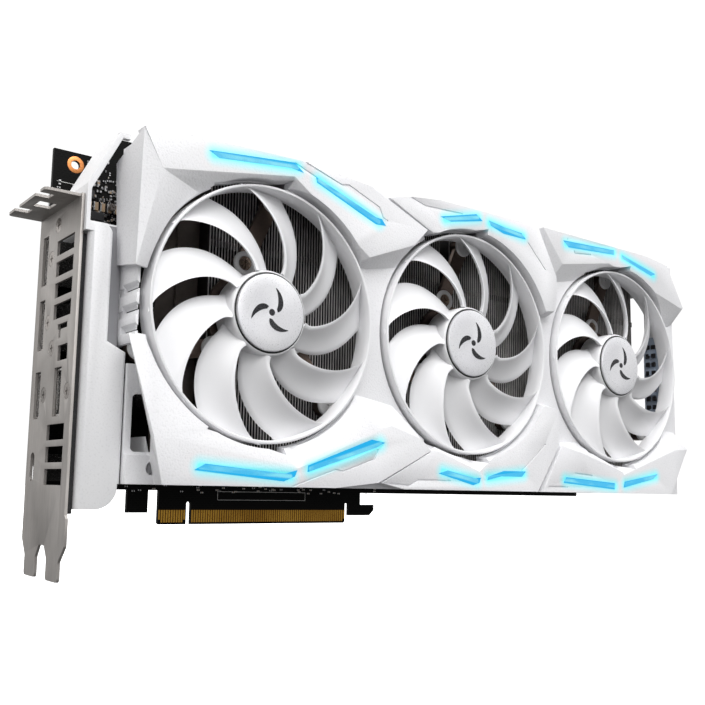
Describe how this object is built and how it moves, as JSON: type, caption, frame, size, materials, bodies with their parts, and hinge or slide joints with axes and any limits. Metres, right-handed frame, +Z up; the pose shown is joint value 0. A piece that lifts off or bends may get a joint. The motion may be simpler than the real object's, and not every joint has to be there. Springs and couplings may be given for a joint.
{
  "type": "graphics card",
  "caption": "Graphics card in a white faceted shroud with ringed fans, cyan light bars, finned heat-pipe cooler, metal backplate and a two-slot bracket with display sockets.",
  "frame": {"origin": "centre of the edge connector's key notch, on the board's mid-plane, at the bottom edge of the contacts", "axes": "+X along the board away from the slot bracket, +Y towards the backplate, +Z up out of the slot; the fans face -Y"},
  "size_m": [0.3149, 0.0537, 0.1539],
  "materials": {
    "white_shroud": "fine grained moulded texture",
    "white_fan": "smooth satin moulding",
    "white_cap": "smooth satin disc",
    "light_bar": "translucent, lit cyan to blue from behind",
    "bracket_steel": "warm grey nickel plating, fine brushed",
    "screw_steel": "dull nickel plating",
    "board_black": "black solder mask with thin white legend lines",
    "contact_gold": "gold plated pads",
    "package_black": "black moulding compound",
    "silicon": "mirror dark silicon",
    "choke_grey": "pressed ferrite block",
    "capacitor_can": "bare can with dark top mark",
    "connector_black": "black nylon",
    "socket_steel": "bright plated shell",
    "gasket_black": "black conductive foam",
    "plated_copper": "nickel plated copper",
    "pipe_bronze": "dark bronze nickel plating",
    "fin_aluminium": "dark aluminium sheet, bright edges",
    "backplate_white": "white powder coat",
    "magnet_black": "dark bonded magnet",
    "shaft_steel": "ground steel",
    "bearing_bronze": "sintered bronze",
    "stator_copper": "enamelled copper windings on steel",
    "base_bronze": "dark bronze plated sheet"
  },
  "bodies": {
    "card": {"backplate": "backplate_white", "backplate_screws": "screw_steel", "bracket_screws": "screw_steel", "button_housing": "connector_black", "capacitors": "capacitor_can", "clamp_screws": "screw_steel", "cold_plate": "plated_copper", "displayport_sockets": "socket_steel", "emi_gasket": "gasket_black", "fan_1_bearing": "bearing_bronze", "fan_1_motor_base": "base_bronze", "fan_1_stator": "stator_copper", "fan_2_bearing": "bearing_bronze", "fan_2_motor_base": "base_bronze", "fan_2_stator": "stator_copper", "fan_3_bearing": "bearing_bronze", "fan_3_motor_base": "base_bronze", "fan_3_stator": "stator_copper", "fan_screws": "screw_steel", "fin_stack_front": "fin_aluminium", "fin_stack_rear": "fin_aluminium", "gold_contacts": "contact_gold", "gpu_die": "silicon", "gpu_package": "package_black", "hdmi_sockets": "socket_steel", "heat_pipes": "pipe_bronze", "io_bracket": "bracket_steel", "light_bars_lower": "light_bar", "light_bars_upper": "light_bar", "light_driver_board": "board_black", "lower_trim_1": "white_shroud", "lower_trim_2": "white_shroud", "lower_trim_3": "white_shroud", "memory_chips": "package_black", "memory_plate": "fin_aluminium", "pcb": "board_black", "power_chokes": "choke_grey", "power_connectors": "connector_black", "retention_plate": "plated_copper", "shroud_base": "white_shroud", "side_frame": "white_shroud", "switch_housing": "connector_black", "upper_trim_1": "white_shroud", "upper_trim_2": "white_shroud", "upper_trim_3": "white_shroud", "usb_c_socket": "socket_steel"},
    "rotor_1": {"fan_1_impeller": "white_fan", "fan_1_hub_cap": "white_cap", "fan_1_magnet_ring": "magnet_black", "fan_1_shaft": "shaft_steel"},
    "rotor_2": {"fan_2_impeller": "white_fan", "fan_2_hub_cap": "white_cap", "fan_2_magnet_ring": "magnet_black", "fan_2_shaft": "shaft_steel"},
    "rotor_3": {"fan_3_impeller": "white_fan", "fan_3_hub_cap": "white_cap", "fan_3_magnet_ring": "magnet_black", "fan_3_shaft": "shaft_steel"},
    "firmware_slider": {"switch_slider": "white_cap"},
    "light_button": {"button_cap": "white_cap"}
  },
  "joints": [
    {"name": "fan_1_spin", "type": "hinge", "parent": "card", "child": "rotor_1", "pos_m": [0.0038, -0.041, 0.0725], "axis": [0, -1, 0], "continuous": true},
    {"name": "fan_2_spin", "type": "hinge", "parent": "card", "child": "rotor_2", "pos_m": [0.0994, -0.041, 0.0725], "axis": [0, -1, 0], "continuous": true},
    {"name": "fan_3_spin", "type": "hinge", "parent": "card", "child": "rotor_3", "pos_m": [0.195, -0.041, 0.0725], "axis": [0, -1, 0], "continuous": true},
    {"name": "firmware_switch_slide", "type": "slide", "parent": "card", "child": "firmware_slider", "axis": [1, 0, 0], "range_m": [0, 0.002]},
    {"name": "light_button_press", "type": "slide", "parent": "card", "child": "light_button", "axis": [0, 0, -1], "range_m": [0, 0.0004], "stiffness_N_per_m": 1200}
  ]
}
